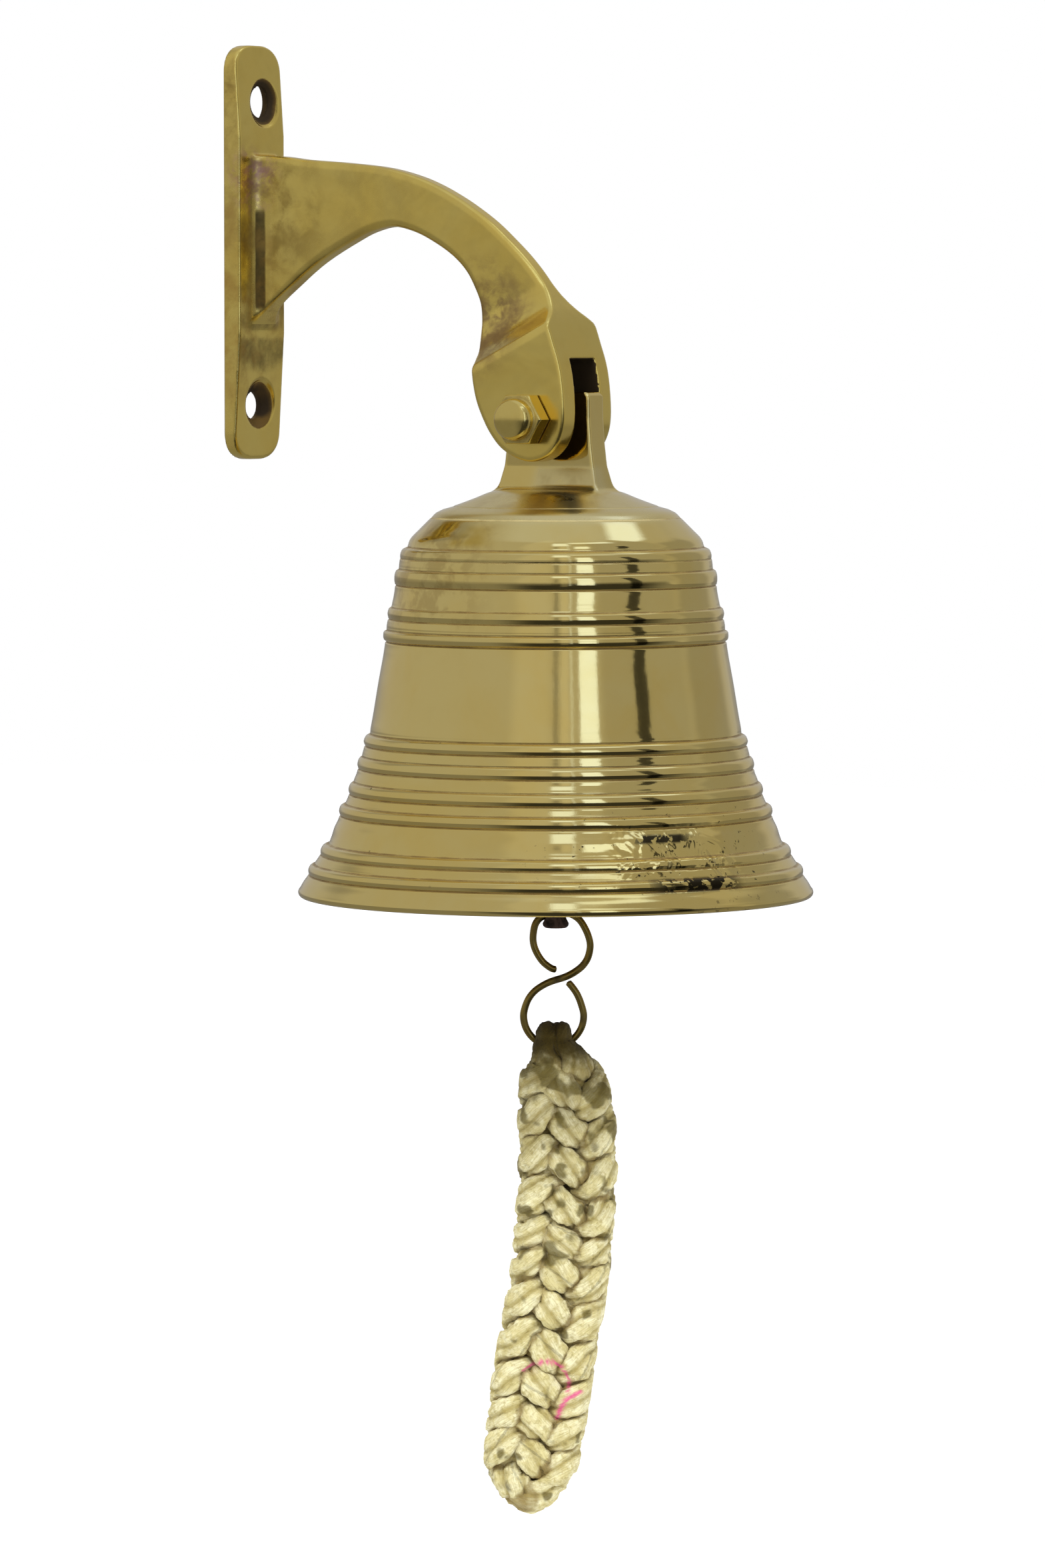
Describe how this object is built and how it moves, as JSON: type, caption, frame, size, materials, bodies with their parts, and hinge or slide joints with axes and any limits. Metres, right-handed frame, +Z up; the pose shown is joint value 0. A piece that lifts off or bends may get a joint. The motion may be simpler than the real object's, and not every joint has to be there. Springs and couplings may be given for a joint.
{
  "type": "ship bell",
  "caption": "Wall-hung brass ship bell on a cast clevis bracket, with a swinging clapper, S-hook and plaited rope pull.",
  "frame": {"origin": "centre of the wall plate's flat back face, midway between its ends", "axes": "+X straight out from the wall, +Z up, +Y along the pivot bolt from the cap nut to the domed head"},
  "size_m": [0.1847, 0.1524, 0.4348],
  "materials": {
    "bracket_brass": "polished sand casting, dull gold with brown tarnish in the fillets",
    "bell_brass": "bright hand polish with dark tarnish in the turned grooves and a few stains",
    "bolt_brass": "worn polish",
    "hook_brass": "dull drawn wire",
    "clapper_iron": "dark brown, lightly rusted",
    "cotton": "cream twisted cotton, soiled near the top"
  },
  "bodies": {
    "bracket": {"wall_bracket": "bracket_brass", "pivot_bolt": "bolt_brass", "pivot_cap_nut": "bolt_brass"},
    "bell": {"bell": "bell_brass", "clapper_staple": "bolt_brass"},
    "clapper": {"clapper_rod": "clapper_iron", "clapper_ball": "clapper_iron"},
    "hook": {"s_hook": "hook_brass"},
    "rope": {"bell_rope": "cotton"}
  },
  "joints": [
    {"name": "bell_swing", "type": "hinge", "parent": "bracket", "child": "bell", "pos_m": [0.1085, 0, -0.04925], "axis": [0, -1, 0], "range_deg": [-12, 85]},
    {"name": "clapper_swing", "type": "hinge", "parent": "bell", "child": "clapper", "pos_m": [0.1085, 0.0026, -0.09675], "axis": [1, 0, 0], "range_deg": [-32, 32]},
    {"name": "hook_swing", "type": "hinge", "parent": "clapper", "child": "hook", "pos_m": [0.1085, 0.0026, -0.19565], "axis": [0.848, 0.5299, 0], "range_deg": [-25, 25]},
    {"name": "rope_swing", "type": "hinge", "parent": "hook", "child": "rope", "pos_m": [0.10799, 0.00228, -0.22585], "axis": [-0.5299, 0.848, 0], "range_deg": [-45, 45]}
  ]
}
